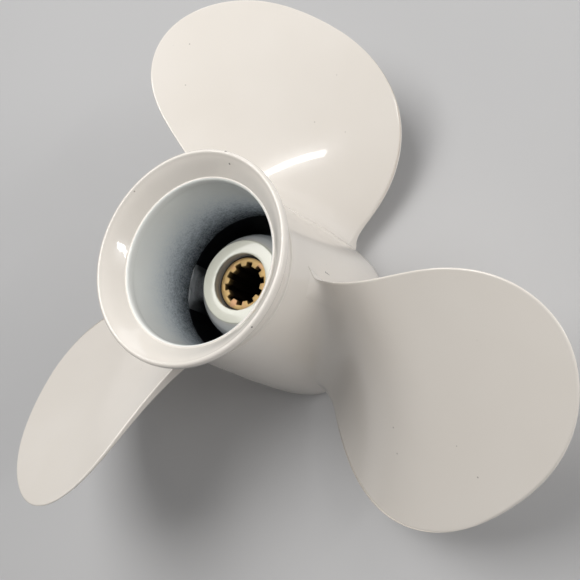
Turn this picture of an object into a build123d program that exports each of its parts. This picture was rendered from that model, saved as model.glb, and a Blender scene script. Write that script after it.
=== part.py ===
from build123d import *
import math
import os

# Three-blade through-hub-exhaust boat propeller, right-hand.
# Frame: Z is the spin axis and points aft (the exhaust side).  The origin is
# the centre of the barrel's front rim, so the propeller stands on that rim.

os.makedirs("parts", exist_ok=True)

# ---------------------------------------------------------------- dimensions
TIP_R = 125.4            # 9 7/8 in propeller
BLADES = 3
BARREL_LEN = 100.0       # front rim to the plane of the flared aft lip
LEAD = 57.0              # axial advance per radian of the blade face
LEAD_SLOPE = 0.089       # change of that advance per mm of radius
LEAD_R = 73.0            # radius where the advance is LEAD
FACE_Z = 36.9            # height of the face at the hub on the blade's centre line
HUB_R_REF = 31.0
RAKE = 0.243             # aft rake, mm per mm of radius
RAKE_CURVE = -0.00115    # change of rake towards the tip
CAMBER = -6.6            # mm per radian squared across the blade

# barrel, outside radius against height
BARREL_OUT = [(0.8, 35.9), (4.0, 36.0), (14.0, 35.8), (24.0, 35.45), (34.0, 34.95),
              (44.0, 34.3), (54.0, 33.6), (64.0, 32.95), (74.0, 32.45), (84.2, 32.2)]
NECK_R = 31.35           # bottom of the concave neck behind the lip
NECK_Z = 85.2
LIP_R = 37.6             # land of the flared lip
LIP_MOUTH_R = 36.5
LIP_LAND = 1.9
MOUTH_R = 28.9           # bore at the foot of the flare
MOUTH_Z = 92.1
THROAT_R = 28.6          # end of the aft bore
THROAT_Z = 55.8
SOCKET_R = 32.6          # socket over the gearcase boss
SOCKET_LEN = 8.0

# inner hub
HUB_FACE_Z = 64.0
HUB_FACE_R = 15.8
HUB_SHOULDER_R = 21.2
HUB_R = 22.0
HUB_FRONT_Z = 9.0
HUB_COUNTERBORE_R = 10.95
BUSH_R = 19.0
BUSH_AFT_Z = 55.0
BUSH_FRONT_Z = 11.5

# webs between the inner hub and the barrel
RIBS = 3
RIB_ANGLE = 183.5        # first web, degrees from +X
RIB_T = 11.0
RIB_FILLET = 3.6
RIB_AFT_Z = 55.2
RIB_FRONT_Z = 9.6

# splined sleeve
SLEEVE_R = 10.30
SLEEVE_AFT_Z = 60.5
SLEEVE_FRONT_Z = 8.5
SPLINE_N = 10
SPLINE_ROOT_R = 8.5
SPLINE_TIP_R = 6.9
SPLINE_GAP = 2.35        # width of one spline groove
SPLINE_ANGLE = 14.6      # first groove, degrees from +X
PILOT_R = 8.8            # plain lead-in bore at the front
PILOT_LEN = 9.0
CLEAR = 0.02             # rubber to sleeve, radial

# blade outline seen along the axis: (across, outwards) in mm for the blade
# that points along +Y; the trailing edge is on the -X side
OUTLINE_CP = [(0.512, 0.696), (0.589, 1.067), (1.403, 1.767), (1.574, 2.67), (1.2, 3.219),
              (0.527, 3.464), (-0.356, 3.195), (-0.834, 2.778), (-1.039, 2.277),
              (-0.966, 1.699), (-0.672, 1.161), (-0.485, 0.936), (-0.49, 0.707)]
OUTLINE_UNIT = TIP_R / 3.4359

BLADE_T_ROOT = 8.4       # greatest thickness at the hub
BLADE_T_TIP = 2.3
# Root fillet on the face: how far it climbs the barrel, against the angle
# from the blade's centre line; it runs out at both ends of the root.
FILLET_AFT = [(-60.0, 1.0), (-40.0, 1.5), (-35.0, 5.5), (-30.0, 11.5), (-24.0, 15.6), (-16.0, 17.4), (-8.0, 18.6),
              (1.0, 19.4), (8.0, 19.0), (14.0, 17.6), (20.0, 14.9), (28.0, 9.2), (34.0, 4.4), (39.0, 1.6), (60.0, 1.0)]
FILLET_FWD = 0.62        # the fillet on the back against the one on the face
FILLET_OUT = 9.5         # how far out along the blade the fillet reaches
NOSE_LEN = 9.0           # the leading edge thins to a nose over this length


def outline_points(count):
    """Points along the clamped cubic B-spline of OUTLINE_CP."""
    cp = [(-u * OUTLINE_UNIT, v * OUTLINE_UNIT) for u, v in OUTLINE_CP]
    k = 3
    m = len(cp)
    knots = [0.0] * k + [i / (m - k) for i in range(m - k + 1)] + [1.0] * k
    pts = []
    for i in range(count):
        t = min(i / (count - 1), 1.0 - 1e-9)
        s = max(j for j in range(k, m) if knots[j] <= t)
        d = [cp[j + s - k] for j in range(k + 1)]
        for r in range(1, k + 1):
            for j in range(k, r - 1, -1):
                a = knots[j + s - k]
                b = knots[j + 1 + s - r]
                w = (t - a) / (b - a)
                d[j] = tuple((1 - w) * p + w * q for p, q in zip(d[j - 1], d[j]))
        pts.append(d[k])
    return pts


def barrel_radius(z):
    """Outside radius of the barrel at height z."""
    if z <= BARREL_OUT[0][0]:
        return BARREL_OUT[0][1]
    for (z0, r0), (z1, r1) in zip(BARREL_OUT, BARREL_OUT[1:]):
        if z <= z1:
            return r0 + (r1 - r0) * (z - z0) / (z1 - z0)
    return BARREL_OUT[-1][1]


OUTLINE = outline_points(161)


def chord(y):
    """Centre and half width of the outline at distance y from the axis."""
    xs = []
    for (x0, y0), (x1, y1) in zip(OUTLINE, OUTLINE[1:]):
        if (y0 - y) * (y1 - y) <= 0 and y0 != y1:
            xs.append(x0 + (x1 - x0) * (y - y0) / (y1 - y0))
    if len(xs) < 2:
        return None
    return (max(xs) + min(xs)) / 2, (max(xs) - min(xs)) / 2


CHORDS = []
for i in range(15):
    yy = 30.0 + 6.0 * i
    CHORDS.append((yy, *chord(yy)))


def chord_smooth(y):
    if y <= CHORDS[0][0]:
        return CHORDS[0][1:]
    for (y0, c0, w0), (y1, c1, w1) in zip(CHORDS, CHORDS[1:]):
        if y <= y1:
            t = (y - y0) / (y1 - y0)
            return c0 + (c1 - c0) * t, w0 + (w1 - w0) * t
    return CHORDS[-1][1:]


def face_height(x, y):
    """Helical face (aft side) of the blade, without its root fillet."""
    r = math.hypot(x, y)
    phi = math.atan2(-x, y)
    dr = r - HUB_R_REF
    return (FACE_Z + (LEAD + LEAD_SLOPE * (r - LEAD_R)) * phi
            + RAKE * dr + RAKE_CURVE * dr * dr + CAMBER * phi * phi)


def blade_heights(x, y):
    """Aft and forward height of the blade at a point seen along the axis."""
    r = max(math.hypot(x, y), 18.0)
    z0 = face_height(x, y)
    slope = math.sqrt(1.0 + (LEAD / r) ** 2)
    c, w = chord_smooth(y)
    u = (x - c) / w
    g = math.exp(-1.15 * u * u)
    out = min(max((y - 33.0) / (TIP_R - 33.0), 0.0), 1.0)
    t_mid = BLADE_T_ROOT + (BLADE_T_TIP - BLADE_T_ROOT) * out ** 0.8
    blunt = 1.3 * math.exp(-((y - 30.0) / 22.0) ** 2) / (1.0 + math.exp(4.0 * u + 2.0))
    nose = min(max((1.0 - u) * w / NOSE_LEN, 0.0), 1.0)
    t = (t_mid * g + blunt) * slope * (0.22 + 0.78 * (1.0 - (1.0 - nose) ** 2) ** 0.85)
    rho = r - barrel_radius(min(max(z0, 0.0), 84.0))
    phi = math.degrees(math.atan2(-x, max(y, 1.0)))
    climb = FILLET_AFT[0][1] if phi < FILLET_AFT[0][0] else FILLET_AFT[-1][1]
    for (p0, c0), (p1, c1) in zip(FILLET_AFT, FILLET_AFT[1:]):
        if p0 <= phi <= p1:
            climb = c0 + (c1 - c0) * (phi - p0) / (p1 - p0)

    def flare(height):
        out = FILLET_OUT * (0.35 + 0.65 * min(height / 14.0, 1.0))
        if rho >= out:
            return 0.0
        if rho >= 0.0:
            return height * (1.0 - rho / out) ** 3
        return height * (1.0 + 3.0 * (2.0 / out) * (1.0 - math.exp(rho / 2.0)))

    fade = min(max((phi + 33.0) / 14.0, 0.08), 1.0)     # the back's fillet runs out at the nose
    return z0 + flare(climb), z0 - t - flare(climb * FILLET_FWD * fade)


# ------------------------------------------------------------------- barrel
# One revolved shell: straight-walled socket at the front, wide forward
# passage, step at the throat, smooth aft bore and flared mouth.
with BuildPart() as barrel:
    with BuildSketch(Plane.XZ) as barrel_profile:
        with BuildLine():
            outer = Spline([(r, z) for z, r in BARREL_OUT])
            rim = Line((SOCKET_R, 0.0), (BARREL_OUT[0][1] - 0.8, 0.0))
            ThreePointArc(rim @ 1, (BARREL_OUT[0][1] - 0.24, 0.24), outer @ 0)
            step = Line(outer @ 1, (NECK_R, NECK_Z))
            neck = Spline([(NECK_R, NECK_Z), (NECK_R + 0.25, NECK_Z + 3.0), (33.6, 93.2),
                           (LIP_R - 0.55, 96.9)])
            ThreePointArc(neck @ 1, (LIP_R - 0.1, 97.25), (LIP_R, 97.7))
            Line((LIP_R, 97.7), (LIP_R, 97.7 + LIP_LAND - 0.6))
            ThreePointArc((LIP_R, 97.7 + LIP_LAND - 0.6), (LIP_R - 0.32, 99.7), (LIP_MOUTH_R, BARREL_LEN))
            Spline([(LIP_MOUTH_R, BARREL_LEN), (35.9, 99.7), (32.1, 95.7), (29.6, 93.2), (MOUTH_R, MOUTH_Z - 0.6)])
            Line((MOUTH_R, MOUTH_Z - 0.6), (THROAT_R, THROAT_Z))
            Line((THROAT_R, THROAT_Z), (30.3, 53.6))
            Line((30.3, 53.6), (31.6, SOCKET_LEN + 6.0))
            Line((31.6, SOCKET_LEN + 6.0), (SOCKET_R, SOCKET_LEN))
            Line((SOCKET_R, SOCKET_LEN), (SOCKET_R, 0.0))
        make_face()
    revolve(axis=Axis.Z)
barrel.part.label = "barrel"
export_step(barrel.part, "parts/barrel.step")

# Full body of revolution inside the barrel's outer surface, used to trim the
# blades so that each one starts exactly on the barrel.
with BuildPart() as barrel_plug:
    with BuildSketch(Plane.XZ):
        with BuildLine():
            plug_outer = Spline([(r, z) for z, r in BARREL_OUT])
            Line((0, -30.0), (BARREL_OUT[0][1], -30.0))
            Line((BARREL_OUT[0][1], -30.0), plug_outer @ 0)
            Line(plug_outer @ 1, (BARREL_OUT[-1][1], 130.0))
            Line((BARREL_OUT[-1][1], 130.0), (0, 130.0))
            Line((0, 130.0), (0, -30.0))
        make_face()
    revolve(axis=Axis.Z)

# ---------------------------------------------------------------- inner hub
# Bell-shaped hub that houses the rubber bush; its aft shoulder keeps the
# bush in and leaves a counterbore round the end of the sleeve.
with BuildPart() as inner_hub:
    with BuildSketch(Plane.XZ):
        with BuildLine():
            Line((BUSH_R, HUB_FRONT_Z), (HUB_R - 0.6, HUB_FRONT_Z))
            Line((HUB_R - 0.6, HUB_FRONT_Z), (HUB_R, HUB_FRONT_Z + 0.6))
            Line((HUB_R, HUB_FRONT_Z + 0.6), (HUB_R, 50.0))
            hub_bell = Spline([(HUB_R, 50.0), (HUB_SHOULDER_R + 0.45, 54.2), (19.1, 60.0), (HUB_FACE_R + 0.35, HUB_FACE_Z - 0.5)],
                              tangents=[(0, 1), (-0.75, 1)])
            Line(hub_bell @ 1, (HUB_FACE_R - 0.1, HUB_FACE_Z))
            Line((HUB_FACE_R - 0.1, HUB_FACE_Z), (HUB_COUNTERBORE_R + 0.35, HUB_FACE_Z))
            Line((HUB_COUNTERBORE_R + 0.35, HUB_FACE_Z), (HUB_COUNTERBORE_R, HUB_FACE_Z - 0.35))
            Line((HUB_COUNTERBORE_R, HUB_FACE_Z - 0.35), (HUB_COUNTERBORE_R, BUSH_AFT_Z))
            Line((HUB_COUNTERBORE_R, BUSH_AFT_Z), (BUSH_R, BUSH_AFT_Z))
            Line((BUSH_R, BUSH_AFT_Z), (BUSH_R, HUB_FRONT_Z))
        make_face()
    revolve(axis=Axis.Z)
inner_hub.part.label = "inner_hub"
export_step(inner_hub.part, "parts/inner_hub.step")

# ------------------------------------------------------------- exhaust webs
# Space between the inner hub and the barrel wall, as a body of revolution.
with BuildPart() as passage:
    with BuildSketch(Plane.XZ):
        with BuildLine():
            Polyline((HUB_R, RIB_FRONT_Z), (HUB_R, 50.0))
            bell = Spline([(HUB_R, 50.0), (HUB_SHOULDER_R + 0.45, 54.2), (19.1, 60.0), (HUB_FACE_R + 0.35, HUB_FACE_Z - 0.5)],
                          tangents=[(0, 1), (-0.75, 1)])
            Polyline(bell @ 1, (THROAT_R + 0.06, HUB_FACE_Z - 0.5), (THROAT_R, THROAT_Z), (30.3, 53.6),
                     (31.6, SOCKET_LEN + 6.0),
                     (SOCKET_R - (RIB_FRONT_Z - SOCKET_LEN) / 6.0, RIB_FRONT_Z), (HUB_R, RIB_FRONT_Z))
        make_face()
    revolve(axis=Axis.Z)

webs = []
for n in range(RIBS):
    with BuildPart() as web:
        a = RIB_ANGLE + 360.0 / RIBS * n
        flat = Plane(origin=(0, 0, RIB_FRONT_Z), x_dir=(math.cos(math.radians(a)), math.sin(math.radians(a)), 0),
                     z_dir=(0, 0, 1))
        with BuildSketch(flat):
            with BuildLine():
                half = RIB_T / 2
                r_in, r_out = 17.0, 34.0
                right = Polyline((r_in, -half - 4.2), (21.6, -half - 1.7), (23.6, -half), (26.4, -half),
                                 (28.3, -half - 1.5), (r_out, -half - 8.0))
                left = Polyline((r_out, half + 8.0), (28.3, half + 1.5), (26.4, half), (23.6, half),
                                (21.6, half + 1.7), (r_in, half + 4.2))
                Line(right @ 1, left @ 0)
                Line(left @ 1, right @ 0)
            make_face()
        extrude(amount=RIB_AFT_Z - RIB_FRONT_Z)
        add(passage.part, mode=Mode.INTERSECT)
    web.part.label = "exhaust_web_%d" % (n + 1)
    export_step(web.part, "parts/exhaust_web_%d.step" % (n + 1))
    webs.append(web.part)

# ------------------------------------------------------------------- blades
X0, X1 = -62.0, 46.0
COLUMNS = 37
xs = [X0 + (X1 - X0) * i / (COLUMNS - 1) for i in range(COLUMNS)]
rows = [21.0, 24.0, 26.5] + [28.5 + 1.4 * j for j in range(12)] + [46.5, 49.5, 53.5, 58.5] \
    + [64.5 + 7.4 * j for j in range(10)]

# Slab between the face and the back, wider than the blade on every side.
with BuildPart() as slab:
    for y in rows:
        with BuildSketch(Plane(origin=(0, y, 0), x_dir=(1, 0, 0), z_dir=(0, -1, 0))):
            with BuildLine():
                up = Spline([(x, blade_heights(x, y)[0]) for x in xs])
                down = Spline([(x, blade_heights(x, y)[1]) for x in xs])
                Line(up @ 1, down @ 1)
                Line(up @ 0, down @ 0)
            make_face()
    loft()

with BuildPart() as blade:
    with BuildSketch(Plane.XY.offset(0.4)):
        with BuildLine():
            edge = Spline(OUTLINE[::4])
            Line(edge @ 1, edge @ 0)
        make_face()
    extrude(amount=110)
    add(slab.part, mode=Mode.INTERSECT)
    add(barrel_plug.part, mode=Mode.SUBTRACT)
blade_solid = max(blade.part.solids(), key=lambda s: s.volume)
print("blade solids", [round(s.volume) for s in blade.part.solids()])

for n in range(BLADES):
    with BuildPart() as placed:
        add(blade_solid.rotate(Axis.Z, 360.0 / BLADES * n))
    placed.part.label = "blade_%d" % (n + 1)
    export_step(placed.part, "parts/blade_%d.step" % (n + 1))

# -------------------------------------------------------------- rubber bush
# Torsion bush pressed into the hub, with a thin collar that shows round the
# end of the sleeve.
with BuildPart() as rubber_bush:
    with BuildSketch(Plane.XZ):
        with BuildLine():
            Polyline((SLEEVE_R + CLEAR, BUSH_FRONT_Z), (BUSH_R - 1.0, BUSH_FRONT_Z), (BUSH_R, BUSH_FRONT_Z + 1.5),
                     (BUSH_R, BUSH_AFT_Z), (HUB_COUNTERBORE_R, BUSH_AFT_Z), (HUB_COUNTERBORE_R, SLEEVE_AFT_Z - 0.6),
                     (SLEEVE_R + CLEAR, SLEEVE_AFT_Z - 0.6), (SLEEVE_R + CLEAR, BUSH_FRONT_Z))
        make_face()
    revolve(axis=Axis.Z)
rubber_bush.part.label = "rubber_bush"
export_step(rubber_bush.part, "parts/rubber_bush.step")

# ----------------------------------------------------------- splined sleeve
with BuildPart() as splined_sleeve:
    with BuildSketch(Plane.XY.offset(SLEEVE_FRONT_Z)):
        Circle(SLEEVE_R)
        Circle(SPLINE_TIP_R, mode=Mode.SUBTRACT)
        with Locations((0, 0)):
            with PolarLocations(0.0, SPLINE_N, start_angle=SPLINE_ANGLE):
                with Locations((SPLINE_ROOT_R / 2 + 2.0, 0)):
                    Rectangle(SPLINE_ROOT_R - 4.0, SPLINE_GAP, mode=Mode.SUBTRACT)
    extrude(amount=SLEEVE_AFT_Z - SLEEVE_FRONT_Z)
    with BuildSketch(Plane.XY.offset(SLEEVE_FRONT_Z)):
        Circle(PILOT_R)
    extrude(amount=PILOT_LEN, mode=Mode.SUBTRACT)
    chamfer(splined_sleeve.edges().filter_by(GeomType.CIRCLE).filter_by(
        lambda e: abs(e.radius - SLEEVE_R) < 1e-3), length=0.35)
splined_sleeve.part.label = "splined_sleeve"
export_step(splined_sleeve.part, "parts/splined_sleeve.step")
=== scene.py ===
import bpy
import math
import numpy as np
from mathutils import Matrix, Vector


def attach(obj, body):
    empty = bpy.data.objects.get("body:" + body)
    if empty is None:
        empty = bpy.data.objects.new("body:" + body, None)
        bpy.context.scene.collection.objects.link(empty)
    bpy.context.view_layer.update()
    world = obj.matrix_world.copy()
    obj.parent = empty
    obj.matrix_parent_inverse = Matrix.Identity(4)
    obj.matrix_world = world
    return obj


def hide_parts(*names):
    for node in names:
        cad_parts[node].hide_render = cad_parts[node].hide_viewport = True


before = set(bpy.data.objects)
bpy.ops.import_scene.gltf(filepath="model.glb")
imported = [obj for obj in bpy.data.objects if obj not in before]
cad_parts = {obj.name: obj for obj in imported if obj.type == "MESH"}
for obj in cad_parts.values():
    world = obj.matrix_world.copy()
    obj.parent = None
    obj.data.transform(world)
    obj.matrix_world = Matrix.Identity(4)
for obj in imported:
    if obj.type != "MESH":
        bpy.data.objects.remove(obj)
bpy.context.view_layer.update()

MM = 0.001

# ------------------------------------------------------------ shape numbers
TIP_R = 125.4
LEAD, LEAD_SLOPE, LEAD_R = 57.0, 0.089, 73.0
FACE_Z, HUB_R_REF = 36.9, 31.0
RAKE, RAKE_CURVE, CAMBER = 0.243, -0.00115, -6.6
BARREL_OUT = [(0.8, 35.9), (4.0, 36.0), (14.0, 35.8), (24.0, 35.45), (34.0, 34.95),
              (44.0, 34.3), (54.0, 33.6), (64.0, 32.95), (74.0, 32.45), (84.2, 32.2)]
OUTLINE_CP = [(0.512, 0.696), (0.589, 1.067), (1.403, 1.767), (1.574, 2.67), (1.2, 3.219),
              (0.527, 3.464), (-0.356, 3.195), (-0.834, 2.778), (-1.039, 2.277),
              (-0.966, 1.699), (-0.672, 1.161), (-0.485, 0.936), (-0.49, 0.707)]
UNIT = TIP_R / 3.4359
BLADE_T_ROOT, BLADE_T_TIP = 8.4, 2.3
FILLET_AFT = [(-60.0, 1.0), (-40.0, 1.5), (-35.0, 5.5), (-30.0, 11.5), (-24.0, 15.6), (-16.0, 17.4), (-8.0, 18.6),
              (1.0, 19.4), (8.0, 19.0), (14.0, 17.6), (20.0, 14.9), (28.0, 9.2), (34.0, 4.4), (39.0, 1.6), (60.0, 1.0)]
FILLET_FWD = 0.62
FILLET_OUT = 9.5
RIB_ANGLE, RIB_T = 183.5, 11.0


def natural(xs, ys):
    """Values of a smooth curve through (xs, ys), as a function."""
    xs = np.asarray(xs, float)
    ys = np.asarray(ys, float)
    h = np.diff(xs)
    d = np.diff(ys) / h
    m = np.zeros(len(xs))
    m[1:-1] = np.where(d[:-1] * d[1:] > 0, 2 * d[:-1] * d[1:] / (d[:-1] + d[1:] + 1e-12), 0.0)
    m[0], m[-1] = d[0], d[-1]

    def f(x):
        x = np.clip(np.asarray(x, float), xs[0], xs[-1])
        i = np.clip(np.searchsorted(xs, x, side="right") - 1, 0, len(h) - 1)
        t = (x - xs[i]) / h[i]
        return ((2 * t**3 - 3 * t**2 + 1) * ys[i] + (t**3 - 2 * t**2 + t) * h[i] * m[i]
                + (-2 * t**3 + 3 * t**2) * ys[i + 1] + (t**3 - t**2) * h[i] * m[i + 1])
    return f


barrel_radius = natural([z for z, r in BARREL_OUT], [r for z, r in BARREL_OUT])
fillet_climb = natural([p for p, c in FILLET_AFT], [c for p, c in FILLET_AFT])


def outline_points(count):
    cp = np.array([(-u * UNIT, v * UNIT) for u, v in OUTLINE_CP])
    k, m = 3, len(cp)
    knots = np.concatenate([np.zeros(k), np.linspace(0, 1, m - k + 1), np.ones(k)])
    out = []
    for t in np.minimum(np.linspace(0, 1, count), 1 - 1e-9):
        s = int(np.searchsorted(knots, t, side="right") - 1)
        d = [cp[j + s - k].copy() for j in range(k + 1)]
        for r in range(1, k + 1):
            for j in range(k, r - 1, -1):
                a, b = knots[j + s - k], knots[j + 1 + s - r]
                w = (t - a) / (b - a)
                d[j] = (1 - w) * d[j - 1] + w * d[j]
        out.append(d[k])
    return np.array(out)


OUTLINE = outline_points(2001)          # trailing edge root, tip, leading edge root

# the trailing edge near the root, as (radius, degrees); it ends in a cusp on the barrel
TE_ROOT = [(32.2, 41.0), (32.6, 40.2), (32.78, 39.4), (32.9, 37.6), (33.15, 35.6), (33.6, 34.3), (34.75, 33.7), (36.8, 33.4), (41.0, 32.9),
           (45.0, 32.75), (49.2, 32.98)]


def with_cusp(points):
    r = np.hypot(points[:, 0], points[:, 1])
    k = int(np.argmax(r > 54.0))
    rs = [a for a, b in TE_ROOT] + [float(q) for q in r[k:k + 60:15]]
    ph = [b for a, b in TE_ROOT] + [float(q) for q in np.degrees(np.arctan2(-points[k:k + 60:15, 0], points[k:k + 60:15, 1]))]
    curve = natural(rs, ph)
    rr = np.concatenate([np.linspace(32.25, 33.6, 60), np.linspace(33.6, float(r[k]), 160)[1:-1]])
    a = np.radians(curve(rr))
    return np.concatenate([np.column_stack([-rr * np.sin(a), rr * np.cos(a)]), points[k:]])


EDGE = with_cusp(OUTLINE)


def chord(y):
    a, b = OUTLINE[:-1], OUTLINE[1:]
    hit = (a[:, 1] - y) * (b[:, 1] - y) <= 0
    xs = a[hit, 0] + (b[hit, 0] - a[hit, 0]) * (y - a[hit, 1]) / (b[hit, 1] - a[hit, 1] + 1e-12)
    return (xs.max() + xs.min()) / 2, (xs.max() - xs.min()) / 2


CH = np.array([(30.0 + 6.0 * i, *chord(30.0 + 6.0 * i)) for i in range(15)])
chord_mid = natural(CH[:, 0], CH[:, 1])
chord_half = natural(CH[:, 0], CH[:, 2])


def face_height(x, y):
    r = np.hypot(x, y)
    phi = np.arctan2(-x, y)
    dr = r - HUB_R_REF
    return (FACE_Z + (LEAD + LEAD_SLOPE * (r - LEAD_R)) * phi + RAKE * dr
            + RAKE_CURVE * dr * dr + CAMBER * phi * phi)


def thickness(x, y):
    r = np.maximum(np.hypot(x, y), 18.0)
    slope = np.sqrt(1.0 + (LEAD / r) ** 2)
    u = (x - chord_mid(y)) / chord_half(y)
    g = np.exp(-1.15 * u * u)
    out = np.clip((y - 33.0) / (TIP_R - 33.0), 0.0, 1.0)
    t_mid = BLADE_T_ROOT + (BLADE_T_TIP - BLADE_T_ROOT) * out ** 0.8
    blunt = 1.3 * np.exp(-((y - 30.0) / 22.0) ** 2) / (1.0 + np.exp(4.0 * u + 2.0))
    nose = np.clip((1.0 - u) * chord_half(y) / 9.0, 0.0, 1.0)
    nose = 0.14 + 0.86 * (1.0 - (1.0 - nose) ** 2) ** 0.85
    return (t_mid * g + blunt) * slope * nose


# ------------------------------------------------------------- mesh helpers
def new_mesh(name, verts, faces, smooth=True, sharp_angle=None):
    me = bpy.data.meshes.new(name)
    me.from_pydata([tuple(float(c) for c in v) for v in verts], [], [tuple(int(i) for i in f) for f in faces])
    me.validate()
    me.update()
    if smooth:
        me.polygons.foreach_set("use_smooth", [True] * len(me.polygons))
    ob = bpy.data.objects.new(name, me)
    bpy.context.scene.collection.objects.link(ob)
    if sharp_angle is not None:
        me.set_sharp_from_angle(angle=math.radians(sharp_angle))
    return ob


def revolve_mesh(name, profile, segments=288, closed=True, sharp_angle=28):
    """Body of revolution from a closed list of (radius, height) in mm."""
    p = np.asarray(profile, float) * MM
    n = len(p)
    ang = np.linspace(0, 2 * np.pi, segments, endpoint=False)
    verts = np.concatenate([np.column_stack([p[:, 0] * np.cos(a), p[:, 0] * np.sin(a), p[:, 1]]) for a in ang])
    faces = []
    rows = n if closed else n - 1
    for s in range(segments):
        t = (s + 1) % segments
        for i in range(rows):
            j = (i + 1) % n
            faces.append((s * n + i, t * n + i, t * n + j, s * n + j))
    return new_mesh(name, verts, faces, True, sharp_angle)


def rounded(points, radii, steps=6):
    """Closed polygon with each corner replaced by an arc of its own radius."""
    pts = [np.array(p, float) for p in points]
    out = []
    n = len(pts)
    for i in range(n):
        p, q, r = pts[i - 1], pts[i], pts[(i + 1) % n]
        rad = radii[i] if not np.isscalar(radii) else radii
        a, b = p - q, r - q
        la, lb = np.linalg.norm(a), np.linalg.norm(b)
        a, b = a / la, b / lb
        ang = math.acos(max(-1, min(1, float(a @ b))))
        if rad <= 0 or ang > math.pi - 0.02:
            out.append(q)
            continue
        t = min(rad / math.tan(ang / 2), 0.49 * la, 0.49 * lb)
        rr = t * math.tan(ang / 2)
        mid = (a + b) / np.linalg.norm(a + b)
        c = q + mid * (rr / math.sin(ang / 2))
        s0, s1 = q + a * t, q + b * t
        v0, v1 = s0 - c, s1 - c
        th = math.acos(max(-1, min(1, float(v0 @ v1) / rr**2)))
        for k in range(steps + 1):
            w = k / steps
            out.append(c + (math.sin((1 - w) * th) * v0 + math.sin(w * th) * v1) / math.sin(th))
    return out


# ------------------------------------------------------------------- barrel
def barrel_profile():
    pts = []
    zs = np.linspace(1.0, 83.75, 60)
    # front rim, rounded outside, and the outer wall
    pts += [(32.9, 0.0), (35.05, 0.0)]
    for a in np.linspace(0, 90, 7)[1:]:
        pts.append((35.05 + 0.9 * math.sin(math.radians(a)), 0.9 - 0.9 * math.cos(math.radians(a))))
    pts += [(float(barrel_radius(z)), float(z)) for z in zs[1:]]
    # small ridge where the barrel ends and the concave neck begins
    pts += [(32.22, 83.95), (32.19, 84.08), (32.12, 84.2), (32.0, 84.3), (31.86, 84.38), (31.7, 84.46), (31.55, 84.58),
            (31.45, 84.75), (31.39, 85.0)]
    neck = natural([85.0, 87.0, 89.5, 91.8, 93.8, 95.4, 96.6], [31.38, 31.42, 31.85, 32.75, 34.05, 35.6, 36.95])
    pts += [(float(neck(z)), float(z)) for z in np.linspace(85.4, 96.6, 28)]
    # land of the lip, rounded at both ends
    pts += [(37.22, 96.92), (37.42, 97.2), (37.54, 97.5), (37.6, 97.85), (37.6, 98.4), (37.57, 98.8),
            (37.48, 99.18), (37.33, 99.5), (37.1, 99.76), (36.82, 99.93), (36.5, 100.0), (36.15, 99.93), (35.82, 99.7)]
    # flared mouth, slightly hollow
    flare = natural([93.05, 94.0, 95.0, 96.0, 97.0, 98.0, 98.8, 99.35], [30.12, 30.86, 31.66, 32.46, 33.28, 34.17, 34.97, 35.58])
    pts += [(float(flare(z)), float(z)) for z in np.linspace(99.35, 93.05, 22)]
    pts += [(30.04, 93.0), (29.97, 92.975), (29.9, 92.97)]
    # bright rounded edge at the foot of the flare, then a fine step
    pts += [(29.82, 92.99), (29.72, 92.99), (29.58, 92.95), (29.44, 92.88), (29.31, 92.77), (29.2, 92.64), (29.1, 92.47),
            (29.02, 92.26), (28.96, 92.0), (28.92, 91.65), (28.9, 91.2), (28.9, 90.6), (28.93, 90.1), (28.99, 89.75), (29.03, 89.4)]
    bore = natural([55.8, 60.0, 75.0, 89.2], [28.62, 28.68, 28.84, 29.03])
    pts += [(float(bore(z)), float(z)) for z in np.linspace(88.6, 56.5, 24)]
    # throat: crisp edge, then the wider forward passage
    pts += [(28.62, 56.05), (28.66, 55.75), (28.8, 55.5), (29.05, 55.15), (29.6, 54.45), (30.1, 53.85), (30.3, 53.3)]
    fwd = natural([8.0, 14.0, 53.3], [32.6, 31.6, 30.3])
    pts += [(float(fwd(z)), float(z)) for z in np.linspace(51, 9.5, 18)]
    pts += [(32.55, 8.3), (32.6, 8.0), (32.6, 6.0), (32.6, 3.0), (32.6, 0.5), (32.68, 0.2)]
    return pts


barrel = revolve_mesh("exhaust_barrel", barrel_profile(), 288, True, 40)

# ---------------------------------------------------------------- inner hub
hub_points = [(19.0, 9.0), (22.0, 9.0), (22.0, 50.0), (21.75, 53.6), (20.7, 56.8), (19.0, 59.9), (17.1, 62.3),
              (15.95, 64.0), (10.95, 64.0), (10.95, 55.0), (19.0, 55.0)]
hub_radii = [0.4, 0.7, 6.0, 5.0, 6.0, 8.0, 5.0, 0.55, 0.45, 0.0, 0.0]
hub_profile = []
for p in rounded(hub_points, hub_radii, 7):
    hub_profile.append(p)


def refine(profile, step):
    out = []
    n = len(profile)
    for i in range(n):
        p, q = np.array(profile[i]), np.array(profile[(i + 1) % n])
        k = max(1, int(math.ceil(np.linalg.norm(q - p) / step)))
        for j in range(k):
            out.append(p + (q - p) * j / k)
    return out


hub = revolve_mesh("bell_hub", refine(hub_profile, 2.5), 240, True, 45)

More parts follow.
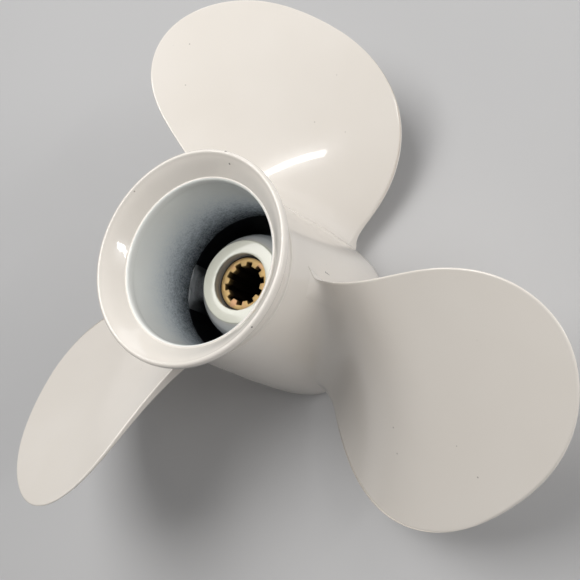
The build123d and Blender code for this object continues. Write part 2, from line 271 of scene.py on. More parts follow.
# ------------------------------------------------------------- exhaust webs
def web_mesh(name, angle):
    half = RIB_T / 2
    z0 = 9.6
    rs = np.linspace(21.3, 30.9, 34)
    prof = []
    for r in rs:
        # concave fillets where the web meets the hub and the wall
        a = np.clip((24.0 - r) / 2.6, 0, 1)
        b = np.clip((r - 25.6) / 3.1, 0, 1)
        w = half + 2.2 * (1 - math.sqrt(max(0.0, 1 - a * a))) + 3.7 * (1 - math.sqrt(max(0.0, 1 - b * b)))
        top = 52.6 + 1.6 * (1 - math.sqrt(max(0.0, 1 - a * a))) + 3.3 * (1 - math.sqrt(max(0.0, 1 - b * b)))
        loop = [(-w, z0)]
        loop += [(-w, z) for z in np.linspace(z0 + 3, top - 3.4, 12)]
        rr = 3.0
        for t in np.linspace(0, 90, 9):
            loop.append((-w + rr * (1 - math.cos(math.radians(t))), top - rr + rr * math.sin(math.radians(t))))
        for x in np.linspace(-w + rr, w - rr, 8)[1:-1]:
            loop.append((x, top - 0.35 * (1 - (x / (w - rr)) ** 2)))
        for t in np.linspace(90, 0, 9):
            loop.append((w - rr * (1 - math.cos(math.radians(t))), top - rr + rr * math.sin(math.radians(t))))
        loop += [(w, z) for z in np.linspace(top - 3.4, z0 + 3, 12)]
        loop += [(w, z0)]
        prof.append(loop)
    n = len(prof[0])
    ca, sa = math.cos(math.radians(angle)), math.sin(math.radians(angle))
    verts = []
    for r, loop in zip(rs, prof):
        for t, z in loop:
            # keep the outer rows just inside the wall, which is narrower aft
            wall = 28.75 if z > 55.6 else (30.3 + (53.3 - min(z, 53.3)) * (1.3 / 39.3) + 0.25)
            rad = r if r < 26 else 26 + (r - 26) * (wall - 26) / (30.9 - 26)
            verts.append(((rad * ca - t * sa) * MM, (rad * sa + t * ca) * MM, z * MM))
    faces = []
    m = len(rs)
    for i in range(m - 1):
        for j in range(n):
            k = (j + 1) % n
            faces.append((i * n + j, (i + 1) * n + j, (i + 1) * n + k, i * n + k))
    faces.append(tuple(range(n)))
    faces.append(tuple((m - 1) * n + j for j in reversed(range(n))))
    return new_mesh(name, verts, faces, True, 50)


webs = [web_mesh("web_%d" % (i + 1), RIB_ANGLE + 120.0 * i) for i in range(3)]

# ------------------------------------------------------------------- blades
def blade_mesh(name, turn):
    NC_, NV = 150, 120
    # where the outline meets the barrel
    rho = np.hypot(EDGE[:, 0], EDGE[:, 1]) - barrel_radius(np.clip(face_height(EDGE[:, 0], EDGE[:, 1]), 0, 84))
    up = np.where(rho > -0.15)[0]
    s0, s1 = up[0], up[-1]
    edge = EDGE[s0:s1 + 1]
    seg = np.r_[0, np.cumsum(np.linalg.norm(np.diff(edge, axis=0), axis=1))]
    total = seg[-1]

    def along(d):
        return np.column_stack([np.interp(d, seg, edge[:, 0]), np.interp(d, seg, edge[:, 1])])

    def outward(d):
        q = along(np.clip(d + 0.35, 0, total)) - along(np.clip(d - 0.35, 0, total))
        n = np.column_stack([q[:, 1], -q[:, 0]])
        n /= np.linalg.norm(n, axis=1)[:, None]
        mid = np.array([0.0, 75.0])
        flip = ((along(d) - mid) * n).sum(1)
        n *= np.sign(np.median(flip))
        return n

    def inset(x, y):
        """Width of the rounded rim: narrow at the root, full further out."""
        t = np.clip((np.hypot(x, y) - 33.2) / 9.0, 0.0, 1.0)
        return 0.12 + 0.73 * t * t * (3 - 2 * t)

    def pull_in(d):
        p = along(d)
        return p - inset(p[:, 0], p[:, 1])[:, None] * outward(d)

    a_end, b_end = 0.36 * total, 0.66 * total          # trailing side, tip, leading side
    v = np.linspace(0, 1, NV)
    c = np.linspace(0, 1, NC_)
    c = 0.55 * c + 0.45 * c ** 2
    v = 0.35 * v + 0.65 * v ** 2
    d_te = v * a_end
    d_tip = a_end + c * (b_end - a_end)
    d_le = total - v * (total - b_end)
    te = pull_in(d_te)
    tip = pull_in(d_tip)
    le = pull_in(d_le)
    # root curve on the barrel
    ang0 = math.atan2(-te[0, 0], te[0, 1]) + math.radians(0.2)
    ang1 = math.atan2(-le[0, 0], le[0, 1]) - math.radians(2.6)
    ang = ang0 + (ang1 - ang0) * c
    rr = np.hypot(te[0, 0], te[0, 1]) + (np.hypot(le[0, 0], le[0, 1]) - np.hypot(te[0, 0], te[0, 1])) * c
    for _ in range(20):
        xx, yy = -rr * np.sin(ang), rr * np.cos(ang)
        rr = barrel_radius(np.clip(face_height(xx, yy), 0, 84)) - 0.45 - 1.75 * np.minimum(1.0, c / 0.12)
    root = np.column_stack([-rr * np.sin(ang), rr * np.cos(ang)])
    te_x = te.copy()
    le_x = le.copy()
    # run both edges a little way into the barrel with the root curve
    w0 = np.exp(-(v * a_end / 0.5) ** 2)[:, None]
    w1 = np.exp(-(v * (total - b_end) / 2.6) ** 2)[:, None]
    te_x = te + w0 * (root[0] - te[0])
    le_x = le + w1 * (root[-1] - le[0])
    C, V = np.meshgrid(c, v, indexing="ij")
    P = ((1 - V)[..., None] * root[:, None, :] + V[..., None] * tip[:, None, :]
         + (1 - C)[..., None] * te_x[None, :, :] + C[..., None] * le_x[None, :, :]
         - ((1 - C) * (1 - V))[..., None] * te_x[0] - (C * (1 - V))[..., None] * le_x[0]
         - ((1 - C) * V)[..., None] * te_x[-1] - (C * V)[..., None] * le_x[-1])

    def surface(side):
        """Rows of points from inside the barrel, through the root fillet, to the tip."""
        rows_f = 22
        th = np.linspace(0, 1, rows_f)

        def section(t, E, out, phi):
            """Offset out along the blade and height above its face at t along the fillet."""
            g = max(0.0, min(1.0, (phi - 21.0) / 6.0, (41.5 - phi) / 3.0)) if side > 0 else 0.0
            kz = min(2.7, 0.5 * E) * g
            kr = 0.27 * kz
            cut = 0.30 * g
            if t < cut:
                return kr * t / cut, E - kz * t / cut
            q = math.radians(90.0) * (t - cut) / (1.0 - cut)
            e0 = (out - kr) * (1 - math.cos(q))
            e1 = (E - kz) * (1 - math.sin(q))
            w = t_lin = (t - cut) / (1.0 - cut)
            s0 = (out - kr) * w * w * 0.55 + (out - kr) * w * 0.45
            s1 = (E - kz) * (1 - w) ** 2 * 0.75 + (E - kz) * (1 - w) * 0.25
            if g < 1.0 and side > 0:
                # away from the trailing edge the fillet runs out gently on the blade
                keep = 1.0 - g
                e0 = e0 * (1 + 0.35 * keep)
                e1 = (E - kz) * (1 - math.sin(q)) ** (1 + 0.25 * keep)
            return kr + e0 + g * 0.75 * (s0 - e0), e1 + g * 0.75 * (s1 - e1)

        NR = rows_f + 86
        G = np.zeros((NC_, NR + 1, 3))
        for i in range(NC_):
            line = P[i]
            L = np.r_[0, np.cumsum(np.linalg.norm(np.diff(line, axis=0), axis=1))]
            R = np.hypot(line[:, 0], line[:, 1])
            k_end = int(np.argmax(R > R[0] + 22)) if (R > R[0] + 22).any() else len(R) - 1

            def at_radius(r):
                l = np.interp(r, R[:k_end + 1], L[:k_end + 1])
                return np.interp(l, L, line[:, 0]), np.interp(l, L, line[:, 1]), l

            def base(x, y):
                z = face_height(x, y)
                return z if side > 0 else z - thickness(x, y)

            pts = []
            l_top = 0.0
            for t in th:
                z = 40.0
                x, y, l = at_radius(barrel_radius(40.0))
                for _ in range(14):
                    phi = math.degrees(math.atan2(-x, y))
                    E = float(fillet_climb(phi))
                    if side < 0:
                        E = max(0.6, E * FILLET_FWD * max(0.08, min(1.0, (phi + 33.0) / 14.0)))
                    out = FILLET_OUT * (0.35 + 0.65 * min(E / 14.0, 1.0))
                    o, h = section(t, E, out, phi)
                    zb = float(base(x, y))
                    z = zb + side * h
                    r = float(barrel_radius(min(max(z, 0.5), 84.2))) + o
                    x, y, l = at_radius(r)
                zb = float(base(x, y))
                z = zb + side * h
                pts.append((float(x), float(y), z))
                l_top = float(l)
            # first row again, a little under the barrel's surface
            x, y, z = pts[0]
            rad = math.hypot(x, y)
            crisp = side > 0 and math.degrees(math.atan2(-x, y)) > 21.0
            zf = z + side * (0.8 if crisp else 1.0)
            rf = rad - 0.35 if crisp else float(barrel_radius(min(max(zf, 0.8), 84.2))) - 0.15
            first = (x * rf / rad, y * rf / rad, zf)
            rest = l_top + (L[-1] - l_top) * (np.linspace(0, 1, 87)[1:] ** 1.06)
            X = np.interp(rest, L, line[:, 0])
            Y = np.interp(rest, L, line[:, 1])
            Z = base(X, Y)
            G[i] = np.array([first] + pts + list(zip(X, Y, Z)))
        return G

    A, B = surface(1), surface(-1)
    nr = A.shape[1]

    def limit_low(g):
        g[..., 2] = np.maximum(g[..., 2], 0.45)
        return g

    A, B = limit_low(A), limit_low(B)
    verts = list(A.reshape(-1, 3)) + list(B.reshape(-1, 3))
    off = NC_ * nr

    def ia(i, j):
        return i * nr + j

    def ib(i, j):
        return off + i * nr + j

    faces = []
    for i in range(NC_ - 1):
        for j in range(nr - 1):
            faces.append((ia(i, j), ia(i, j + 1), ia(i + 1, j + 1), ia(i + 1, j)))
            faces.append((ib(i, j), ib(i + 1, j), ib(i + 1, j + 1), ib(i, j + 1)))
    # rounded rim round the three free sides
    loop = [(0, j) for j in range(nr)] + [(i, nr - 1) for i in range(1, NC_)] + [(NC_ - 1, j) for j in range(nr - 2, -1, -1)]
    pa = np.array([A[i, j] for i, j in loop])
    pb = np.array([B[i, j] for i, j in loop])
    tan = np.gradient(pa[:, :2], axis=0)
    nrm = np.column_stack([tan[:, 1], -tan[:, 0]])
    nrm /= np.linalg.norm(nrm, axis=1)[:, None] + 1e-12
    cen = np.array([pa[:, 0].mean(), pa[:, 1].mean()])
    nrm *= np.sign(np.median(((pa[:, :2] - cen) * nrm).sum(1)))
    for _ in range(3):
        nrm[1:-1] = (nrm[:-2] + 2 * nrm[1:-1] + nrm[2:]) / 4
    nrm /= np.linalg.norm(nrm, axis=1)[:, None] + 1e-12
    ins = inset(pa[:, 0], pa[:, 1])
    ths = [75, 60, 45, 30, 15, 0]
    rings = []
    for t in ths:
        rings.append((math.cos(math.radians(t)), math.sin(math.radians(t)), 1))
    rings += [(c_, s_, -1) for c_, s_, _ in reversed(rings)]
    prev = [ia(i, j) for i, j in loop]
    for co, si, sgn in rings:
        base_i = len(verts)
        for k in range(len(loop)):
            p = pa[k] if sgn > 0 else pb[k]
            q = pb[k] if sgn > 0 else pa[k]
            T = abs(pa[k, 2] - pb[k, 2])
            h = min(T / 2, 1.35 * ins[k])
            x, y = p[0] + nrm[k, 0] * ins[k] * co, p[1] + nrm[k, 1] * ins[k] * co
            dz = float(face_height(x, y) - face_height(p[0], p[1]))
            z = p[2] + dz - sgn * h * (1 - si)
            verts.append((x, y, max(z, 0.45)))
        cur = [base_i + k for k in range(len(loop))]
        for k in range(len(loop) - 1):
            faces.append((prev[k], prev[k + 1], cur[k + 1], cur[k]))
        prev = cur
    cur = [ib(i, j) for i, j in loop]
    for k in range(len(loop) - 1):
        faces.append((prev[k], prev[k + 1], cur[k + 1], cur[k]))
    ct, st = math.cos(turn), math.sin(turn)
    vv = np.array(verts) * MM
    vv = np.column_stack([vv[:, 0] * ct - vv[:, 1] * st, vv[:, 0] * st + vv[:, 1] * ct, vv[:, 2]])
    ob = new_mesh(name, vv, faces, True, 60)
    import bmesh
    bm = bmesh.new()
    bm.from_mesh(ob.data)
    bm.verts.ensure_lookup_table()
    for i in range(NC_ - 1):
        # the sunk strip along the root doesn't bend the fillet's shading
        for row in (ia, ib):
            e = bm.edges.get((bm.verts[row(i, 1)], bm.verts[row(i + 1, 1)]))
            if e is not None:
                e.smooth = False
    bmesh.ops.remove_doubles(bm, verts=bm.verts, dist=1e-6)
    bmesh.ops.recalc_face_normals(bm, faces=bm.faces)
    bm.to_mesh(ob.data)
    bm.free()
    return ob


blades = [blade_mesh("paddle_%d" % (i + 1), math.radians(120.0 * i)) for i in range(3)]

# ------------------------------------------------------------------- sleeve
def sleeve_mesh(name):
    n, root, tipr, gap, out_r = 10, 8.5, 6.9, 2.35, 10.30
    first = math.radians(14.6)

    def section(grow):
        """Closed inner outline with small radii at the groove corners."""
        pts, rad = [], []
        for i in range(n):
            a = first + 2 * math.pi * i / n
            hw = gap / 2 + grow
            ri, ro = tipr + grow, root + grow
            for r, w, rr in ((ri, -hw, 0.22), (ro, -hw, 0.3), (ro, hw, 0.3), (ri, hw, 0.22)):
                x = math.sqrt(r * r - w * w)
                pts.append((x * math.cos(a) - w * math.sin(a), x * math.sin(a) + w * math.cos(a)))
                rad.append(rr)
            # two points along the tooth's tip
            w_ang = math.asin(hw / ri)
            for f in (0.33, 0.67):
                b = a + w_ang + (2 * math.pi / n - 2 * w_ang) * f
                pts.append((ri * math.cos(b), ri * math.sin(b)))
                rad.append(0.0)
        return np.array(rounded(pts, rad, 4))

    inner = section(0.0)
    m = len(inner)
    chamf = section(0.28)
    z_f, z_a = 8.5, 60.5
    pilot_r = 8.8
    ang = np.arctan2(inner[:, 1], inner[:, 0])

    def ring(r, z):
        return np.column_stack([r * np.cos(ang), r * np.sin(ang), np.full(m, z)])

    def flat(sec, z):
        return np.column_stack([sec[:, 0], sec[:, 1], np.full(m, z)])

    rows = [ring(out_r - 0.32, z_f), ring(out_r - 0.1, z_f + 0.1), ring(out_r, z_f + 0.35)]
    rows += [ring(out_r, z) for z in np.linspace(z_f + 3, z_a - 3, 12)]
    rows += [ring(out_r, z_a - 0.35), ring(out_r - 0.08, z_a - 0.12), ring(out_r - 0.3, z_a)]
    rows += [flat(chamf, z_a), flat(section(0.09), z_a - 0.09), flat(inner, z_a - 0.3)]
    rows += [flat(inner, z) for z in np.linspace(z_a - 3, z_f + 12.0, 10)]
    rows += [flat(inner, z_f + 9.3), flat(chamf, z_f + 9.0)]
    rows += [ring(pilot_r, z_f + 9.0), ring(pilot_r, z_f + 8.6), ring(pilot_r, z_f + 0.4), ring(pilot_r + 0.3, z_f)]
    verts = np.concatenate(rows) * MM
    faces = []
    nr = len(rows)
    for i in range(nr):
        k = (i + 1) % nr
        for j in range(m):
            l = (j + 1) % m
            faces.append((i * m + j, i * m + l, k * m + l, k * m + j))
    ob = new_mesh(name, verts, faces, True, 38)
    return ob


sleeve = sleeve_mesh("spline_sleeve")

bush_profile = rounded([(10.325, 11.5), (18.0, 11.5), (19.0, 13.0), (19.0, 55.0), (10.95, 55.0), (10.95, 59.9),
                        (10.325, 59.9)], [0.25, 0.6, 0.6, 0.0, 0.0, 0.28, 0.28], 4)
bush = revolve_mesh("drive_bush", refine(bush_profile, 3.0), 192, True, 45)

# ---------------------------------------------------------------- materials
def clean_material(name):
    mat = bpy.data.materials.new(name)
    mat.use_nodes = True
    nt = mat.node_tree
    nt.nodes.clear()
    out = nt.nodes.new("ShaderNodeOutputMaterial")
    bs = nt.nodes.new("ShaderNodeBsdfPrincipled")
    nt.links.new(bs.outputs[0], out.inputs[0])
    tc = nt.nodes.new("ShaderNodeTexCoord")
    return mat, nt, bs, tc.outputs["Object"]


def noise(nt, vec, scale, detail=3.0, rough=0.5):
    n = nt.nodes.new("ShaderNodeTexNoise")
    n.inputs["Scale"].default_value = scale
    n.inputs["Detail"].default_value = detail
    n.inputs["Roughness"].default_value = rough
    nt.links.new(vec, n.inputs["Vector"])
    return n.outputs["Fac"]


def ramp(nt, fac, stops, mode="LINEAR"):
    r = nt.nodes.new("ShaderNodeValToRGB")
    r.color_ramp.interpolation = mode
    els = r.color_ramp.elements
    while len(els) > 1:
        els.remove(els[-1])
    els[0].position = stops[0][0]
    els[0].color = stops[0][1]
    for p, c in stops[1:]:
        e = els.new(p)
        e.color = c
    nt.links.new(fac, r.inputs["Fac"])
    return r.outputs["Color"]


def math_node(nt, op, a, b=None, clamp=False):
    n = nt.nodes.new("ShaderNodeMath")
    n.operation = op
    n.use_clamp = clamp
    for i, x in enumerate((a, b)):
        if x is None:
            continue
        if isinstance(x, (int, float)):
            n.inputs[i].default_value = x
        else:
            nt.links.new(x, n.inputs[i])
    return n.outputs[0]


def mix(nt, fac, a, b, blend="MIX"):
    m = nt.nodes.new("ShaderNodeMix")
    m.data_type = "RGBA"
    m.blend_type = blend
    if isinstance(fac, (int, float)):
        m.inputs[0].default_value = fac
    else:
        nt.links.new(fac, m.inputs[0])
    for sock, x in ((m.inputs[6], a), (m.inputs[7], b)):
        if isinstance(x, tuple):
            sock.default_value = x
        else:
            nt.links.new(x, sock)
    return m.outputs[2]


def bump(nt, height, strength, distance, normal=None):
    b = nt.nodes.new("ShaderNodeBump")
    b.inputs["Strength"].default_value = strength
    b.inputs["Distance"].default_value = distance
    nt.links.new(height, b.inputs["Height"])
    if normal is not None:
        nt.links.new(normal, b.inputs["Normal"])
    return b.outputs["Normal"]


def grey(v, a=1.0):
    return (v, v, v, a)


PAINT = (0.825, 0.780, 0.722, 1.0)


def paint_colour(nt, vec):
    """Warm white enamel: faint mottling, a few pinholes and specks of dirt."""
    cloud = ramp(nt, noise(nt, vec, 26.0, 2.0), [(0.30, (0.800, 0.752, 0.690, 1)), (0.70, PAINT)])
    vor = nt.nodes.new("ShaderNodeTexVoronoi")
    vor.inputs["Scale"].default_value = 210.0
    nt.links.new(vec, vor.inputs["Vector"])
    spot = ramp(nt, vor.outputs["Distance"], [(0.0, grey(1)), (0.045, grey(1)), (0.075, grey(0))])
    pick = ramp(nt, noise(nt, vec, 62.0, 1.0), [(0.60, grey(0)), (0.66, grey(1))])
    speck = math_node(nt, "MULTIPLY", spot, pick)
    col = mix(nt, math_node(nt, "MULTIPLY", speck, 0.55), cloud, (0.16, 0.14, 0.12, 1))
    return col, speck


def finish_paint(nt, bs, vec, speck):
    peel = noise(nt, vec, 430.0, 1.0, 0.4)
    cast = noise(nt, vec, 55.0, 3.0, 0.5)
    n1 = bump(nt, cast, 0.06, 0.0012)
    n2 = bump(nt, peel, 0.05, 0.0002, n1)
    n3 = bump(nt, math_node(nt, "SUBTRACT", 1.0, speck), 0.25, 0.0002, n2)
    nt.links.new(n3, bs.inputs["Normal"])
    rough = ramp(nt, noise(nt, vec, 90.0, 3.0), [(0.3, grey(0.17)), (0.7, grey(0.23))])
    nt.links.new(rough, bs.inputs["Roughness"])
    bs.inputs["IOR"].default_value = 1.5
    bs.inputs["Coat Weight"].default_value = 0.6
    bs.inputs["Coat Roughness"].default_value = 0.035


mat_paint, nt, bs, vec = clean_material("white_enamel")
col, speck = paint_colour(nt, vec)
nt.links.new(col, bs.inputs["Base Color"])
finish_paint(nt, bs, vec, speck)


def position(nt, vec):
    s = nt.nodes.new("ShaderNodeSeparateXYZ")
    nt.links.new(vec, s.inputs[0])
    x, y, z = s.outputs
    r = math_node(nt, "SQRT", math_node(nt, "ADD", math_node(nt, "MULTIPLY", x, x), math_node(nt, "MULTIPLY", y, y)))
    return x, y, z, r


def overspray(nt, vec, depth, stops):
    """Paint that thins to bare dark metal with depth, broken into droplets."""
    fine = noise(nt, vec, 1300.0, 2.0, 0.6)
    mid = noise(nt, vec, 380.0, 3.0, 0.6)
    grain = math_node(nt, "ADD", math_node(nt, "MULTIPLY", math_node(nt, "SUBTRACT", fine, 0.5), 0.42),
                      math_node(nt, "MULTIPLY", math_node(nt, "SUBTRACT", mid, 0.5), 0.26))
    # droplets only show where the paint starts to thin
    onset = math_node(nt, "MULTIPLY", math_node(nt, "SUBTRACT", depth, 0.12), 2.2, True)
    amount = math_node(nt, "ADD", depth, math_node(nt, "MULTIPLY", grain, onset), True)
    return ramp(nt, amount, stops), amount


# barrel: enamel outside and on the flare, overspray inside
mat_barrel, nt, bs, vec = clean_material("barrel_enamel_and_overspray")
col, speck = paint_colour(nt, vec)
x, y, z, r = position(nt, vec)
inside = math_node(nt, "LESS_THAN", r, math_node(nt, "ADD", 0.0296, math_node(nt, "MULTIPLY", math_node(nt, "LESS_THAN", z, 0.0545), 0.0032)))


def near(nt, vec, point, size, edge):
    """1 inside a ragged blob round a point given in mm, 0 outside."""
    d = nt.nodes.new("ShaderNodeVectorMath")
    d.operation = "DISTANCE"
    nt.links.new(vec, d.inputs[0])
    d.inputs[1].default_value = tuple(c * MM for c in point)
    wob = math_node(nt, "MULTIPLY", math_node(nt, "SUBTRACT", edge, 0.5), size * 1.3 * MM)
    return math_node(nt, "LESS_THAN", math_node(nt, "ADD", d.outputs["Value"], wob), size * MM)


ragged = noise(nt, vec, 1600.0, 2.0, 0.6)
chip = None
for point, size in [((-14.95, -34.39, 98.9), 0.55), ((-13.6, -35.0, 98.8), 0.4), ((-21.1, -31.0, 98.9), 0.45),
                    ((7.73, 36.39, 99.6), 0.45), ((8.94, 32.8, 97.6), 0.35), ((32.47, 7.15, 59.4), 0.34), ((32.56, 7.1, 58.5), 0.30),
                    ((32.62, 7.04, 57.7), 0.27), ((32.72, 6.92, 56.8), 0.24), ((31.0, -21.0, 99.4), 0.35)]:
    m = near(nt, vec, point, size, ragged)
    chip = m if chip is None else math_node(nt, "MAXIMUM", chip, m)
col = mix(nt, math_node(nt, "MULTIPLY", chip, 0.8), col, (0.10, 0.095, 0.09, 1))
speck = math_node(nt, "MAXIMUM", speck, chip)
depth = math_node(nt, "DIVIDE", math_node(nt, "SUBTRACT", 0.093, z), 0.040)
front = math_node(nt, "DIVIDE", math_node(nt, "SUBTRACT", z, -0.004), 0.030)
deep = math_node(nt, "MINIMUM", depth, front)
spray, amt = overspray(nt, vec, deep, [(0.0, (0.86, 0.87, 0.84, 1)), (0.24, (0.85, 0.87, 0.86, 1)), (0.38, (0.81, 0.845, 0.855, 1)),
                                       (0.50, (0.74, 0.785, 0.82, 1)), (0.60, (0.62, 0.67, 0.715, 1)), (0.70, (0.45, 0.495, 0.54, 1)),
                                       (0.80, (0.29, 0.325, 0.36, 1)), (0.89, (0.165, 0.185, 0.205, 1)),
                                       (0.955, (0.085, 0.095, 0.105, 1)), (1.0, (0.02, 0.022, 0.025, 1))])
throat = math_node(nt, "LESS_THAN", z, 0.05545)
spray = mix(nt, throat, spray, ramp(nt, noise(nt, vec, 500.0, 2.0), [(0.3, (0.006, 0.007, 0.008, 1)), (0.8, (0.016, 0.017, 0.02, 1))]))
full = mix(nt, inside, col, spray)
nt.links.new(full, bs.inputs["Base Color"])
finish_paint(nt, bs, vec, speck)
rough = mix(nt, inside, grey(0.22), ramp(nt, amt, [(0.15, grey(0.36)), (0.6, grey(0.66))]))
nt.links.new(rough, bs.inputs["Roughness"])

# inner hub: enamel on the aft face, overspray down its side, painted shade on the counterbore wall
mat_hub, nt, bs, vec = clean_material("hub_enamel_and_overspray")
col, speck = paint_colour(nt, vec)
x, y, z, r = position(nt, vec)
depth = math_node(nt, "DIVIDE", math_node(nt, "SUBTRACT", 0.0650, z), 0.024)
spray, amt = overspray(nt, vec, depth, [(0.0, PAINT), (0.14, (0.62, 0.63, 0.62, 1)), (0.40, (0.40, 0.43, 0.46, 1)),
                                        (0.75, (0.12, 0.14, 0.16, 1)), (1.0, (0.012, 0.013, 0.015, 1))])
face = math_node(nt, "GREATER_THAN", z, 0.0634)
col = mix(nt, 1.0, col, (0.80, 0.85, 0.80, 1), "MULTIPLY")
# painted shade: the counterbore wall between the hub face and the bush is a flat darker grey, for the shadow under the
# step
counterbore_painted_shade = math_node(nt, "MULTIPLY", math_node(nt, "LESS_THAN", r, 0.01125), math_node(nt, "LESS_THAN", z, 0.06365))
col = mix(nt, counterbore_painted_shade, mix(nt, face, spray, col), (0.42, 0.41, 0.39, 1))
nt.links.new(col, bs.inputs["Base Color"])
finish_paint(nt, bs, vec, speck)

# webs: thin grey overspray over dark metal
mat_web, nt, bs, vec = clean_material("web_overspray")
x, y, z, r = position(nt, vec)
depth = math_node(nt, "DIVIDE", math_node(nt, "SUBTRACT", 0.0575, z), 0.020)
wall = math_node(nt, "MULTIPLY", math_node(nt, "SUBTRACT", r, 0.0268), 900.0, True)
depth = math_node(nt, "ADD", depth, math_node(nt, "MULTIPLY", math_node(nt, "SUBTRACT", 1.0, wall), 0.22))
spray, amt = overspray(nt, vec, depth, [(0.0, (0.62, 0.64, 0.655, 1)), (0.14, (0.54, 0.56, 0.58, 1)), (0.27, (0.20, 0.21, 0.22, 1)),
                                        (0.55, (0.085, 0.09, 0.095, 1)), (0.8, (0.02, 0.022, 0.025, 1)), (1.0, (0.006, 0.007, 0.008, 1))])
nt.links.new(spray, bs.inputs["Base Color"])
nt.links.new(bump(nt, noise(nt, vec, 900.0, 2.0), 0.25, 0.0003), bs.inputs["Normal"])
nt.links.new(ramp(nt, noise(nt, vec, 300.0, 2.0), [(0.3, grey(0.45)), (0.7, grey(0.65))]), bs.inputs["Roughness"])

# brass sleeve: turned face, slightly dull, with painted shade down the bore
mat_brass, nt, bs, vec = clean_material("dull_brass")
x, y, z, r = position(nt, vec)
rings = nt.nodes.new("ShaderNodeTexNoise")
rings.inputs["Scale"].default_value = 1.0
rings.inputs["Detail"].default_value = 3.0
comb = nt.nodes.new("ShaderNodeCombineXYZ")
nt.links.new(math_node(nt, "MULTIPLY", r, 5200.0), comb.inputs[0])
nt.links.new(math_node(nt, "MULTIPLY", z, 900.0), comb.inputs[2])
nt.links.new(comb.outputs[0], rings.inputs["Vector"])
tone = noise(nt, vec, 320.0, 4.0, 0.6)
c1 = ramp(nt, tone, [(0.25, (0.40, 0.255, 0.095, 1)), (0.5, (0.53, 0.37, 0.155, 1)), (0.8, (0.62, 0.455, 0.22, 1))])
c2 = mix(nt, math_node(nt, "MULTIPLY", ramp(nt, rings.outputs["Fac"], [(0.35, grey(0)), (0.65, grey(1))]), 0.25), c1,
         (0.30, 0.18, 0.08, 1))
patch = ramp(nt, noise(nt, vec, 170.0, 1.0), [(0.56, grey(0)), (0.64, grey(0.6))])
c2 = mix(nt, patch, c2, (0.60, 0.33, 0.21, 1))
# painted shade: below the sleeve's aft face the brass colour darkens to near black down the bore, standing in for the
# shade deep inside it
down = math_node(nt, "DIVIDE", math_node(nt, "SUBTRACT", 0.0604, z), 0.0036, True)
painted_bore_shade = ramp(nt, math_node(nt, "ADD", down, math_node(nt, "MULTIPLY", math_node(nt, "SUBTRACT", tone, 0.5), 0.35), True),
            [(0.0, grey(0)), (0.25, grey(0.55)), (0.9, grey(0.975))])
c3 = mix(nt, painted_bore_shade, c2, (0.012, 0.008, 0.005, 1))
nt.links.new(c3, bs.inputs["Base Color"])
bs.inputs["Metallic"].default_value = 0.55
nt.links.new(ramp(nt, tone, [(0.2, grey(0.50)), (0.8, grey(0.64))]), bs.inputs["Roughness"])
nt.links.new(bump(nt, rings.outputs["Fac"], 0.25, 0.00008), bs.inputs["Normal"])

# rubber
mat_rubber, nt, bs, vec = clean_material("black_rubber")
nt.links.new(ramp(nt, noise(nt, vec, 260.0, 3.0), [(0.3, (0.010, 0.010, 0.011, 1)), (0.75, (0.030, 0.029, 0.028, 1))]),
             bs.inputs["Base Color"])
nt.links.new(ramp(nt, noise(nt, vec, 500.0, 2.0), [(0.3, grey(0.6)), (0.7, grey(0.8))]), bs.inputs["Roughness"])
nt.links.new(bump(nt, noise(nt, vec, 1400.0, 2.0), 0.3, 0.00015), bs.inputs["Normal"])

for ob, mat in [(barrel, mat_barrel), (hub, mat_hub), (sleeve, mat_brass), (bush, mat_rubber)] + \
        [(w, mat_web) for w in webs] + [(b, mat_paint) for b in blades]:
    ob.data.materials.clear()
    ob.data.materials.append(mat)

# --------------------------------------------------------- bodies, and the CAD parts hidden
for ob in [barrel, hub, bush] + webs + blades:
    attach(ob, "casting")
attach(sleeve, "sleeve")
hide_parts("barrel")
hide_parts("inner_hub")
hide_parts("rubber_bush")
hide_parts("splined_sleeve")
for i in range(3):
    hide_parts("exhaust_web_%d" % (i + 1))
    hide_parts("blade_%d" % (i + 1))

# ------------------------------------------------------------------- camera
f_px = 682.196
R = np.array([[-0.8876418799304603, -0.10835417421531295, -0.44760615045331537],
              [0.0, 0.9719278153476139, -0.235279242079735],
              [0.4605343559318006, -0.20884370874826982, -0.8627238331718612]])
T = np.array([-0.9613183669420696, -0.32277100639533934, 6.158408781121403]) * UNIT * MM
a = math.radians(175.0)
Rz = np.array([[math.cos(a), -math.sin(a), 0], [math.sin(a), math.cos(a), 0], [0, 0, 1]])
RT = R @ Rz
loc = np.array([0, 0, 0.1]) - RT.T @ T
rot = RT.T @ np.diag([1.0, -1.0, -1.0])
cam_data = bpy.data.cameras.new("camera")
cam = bpy.data.objects.new("camera", cam_data)
bpy.context.scene.collection.objects.link(cam)
M = Matrix.Identity(4)
for i in range(3):
    for j in range(3):
        M[i][j] = float(rot[i, j])
    M[i][3] = float(loc[i])
cam.matrix_world = M
cam_data.sensor_width = 36.0
cam_data.sensor_fit = "HORIZONTAL"
cam_data.lens = 36.0 * f_px / 580.0
cam_data.clip_start = 0.01
cam_data.clip_end = 20.0
bpy.context.scene.camera = cam

# ---------------------------------------------------------- floor and light
def stage_floor():
    n = 48
    size = 3.2
    verts, faces = [], []
    for i in range(n + 1):
        for j in range(n + 1):
            verts.append(((i / n - 0.5) * 2 * size, (j / n - 0.5) * 2 * size, 0.0))
    for i in range(n):
        for j in range(n):
            p = i * (n + 1) + j
            faces.append((p, p + n + 1, p + n + 2, p + 1))
    return new_mesh("studio_floor", verts, faces, True)


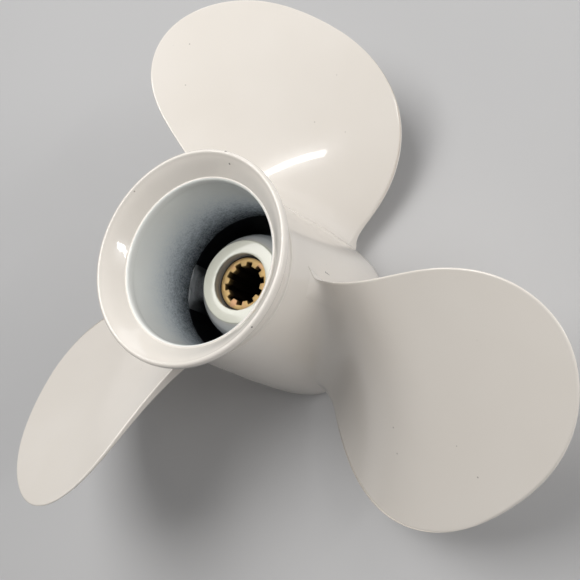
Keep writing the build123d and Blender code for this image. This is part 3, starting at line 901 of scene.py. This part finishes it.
floor = stage_floor()
mat_floor, nt, bs, vec = clean_material("pale_floor")
nt.links.new(ramp(nt, noise(nt, vec, 3.0, 2.0), [(0.3, (0.50, 0.50, 0.505, 1)), (0.7, (0.535, 0.535, 0.54, 1))]),
             bs.inputs["Base Color"])
nt.links.new(ramp(nt, noise(nt, vec, 5.0, 2.0), [(0.3, grey(0.7)), (0.7, grey(0.8))]), bs.inputs["Roughness"])
floor.data.materials.append(mat_floor)


up = Vector([float(v) for v in rot[:, 1]])
right = Vector([float(v) for v in rot[:, 0]])
back = Vector([float(v) for v in rot[:, 2]])
centre = Vector((0, 0, 0.055))


def softbox(name, where, distance, width, height, watts, colour=(1.0, 1.0, 1.0), along=None):
    """Rectangular light, placed by its direction in the camera's right, up and back."""
    d = bpy.data.lights.new(name, "AREA")
    d.shape = "RECTANGLE"
    d.size, d.size_y = width, height
    d.energy = watts
    d.color = colour
    o = bpy.data.objects.new(name, d)
    bpy.context.scene.collection.objects.link(o)
    z = (right * where[0] + up * where[1] + back * where[2]).normalized()
    x = right if along is None else right * along[0] + up * along[1] + back * along[2]
    x = (x - z * x.dot(z)).normalized()
    y = z.cross(x)
    m = Matrix.Identity(4)
    loc = centre + z * distance
    for i in range(3):
        m[i][0], m[i][1], m[i][2], m[i][3] = x[i], y[i], z[i], loc[i]
    o.matrix_world = m
    return o


softbox("tube", (0.545, 0.246, 0.801), 0.891, 0.366, 0.040, 1.0, (1.0, 0.99, 0.97), (0.456, 0.769, -0.448))
softbox("key", (-0.6, 0.5, 0.62), 0.9, 0.6, 0.6, 6.3, (1.0, 0.985, 0.965))
for name, where, size, watts in (("side", (0.75, 0.3, 0.6), 0.4, 2.6), ("front", (0.1, 0.15, 0.98), 0.8, 0.75),
                                 ("low", (-0.6, -0.6, 0.5), 0.5, 0.6)):
    fill = softbox(name, where, 0.9, size, size, watts, (1.0, 0.99, 0.98))
    fill.visible_glossy = False
softbox("rim", (-0.3, 0.9, 0.0), 0.9, 0.7, 0.4, 1.3, (0.97, 0.985, 1.0))
world = bpy.data.worlds.new("studio")
world.use_nodes = True
bg = world.node_tree.nodes["Background"]
bg.inputs[0].default_value = (0.97, 0.98, 1.0, 1)
bg.inputs[1].default_value = 0.11
bpy.context.scene.world = world
bpy.context.scene.view_settings.view_transform = "Standard"
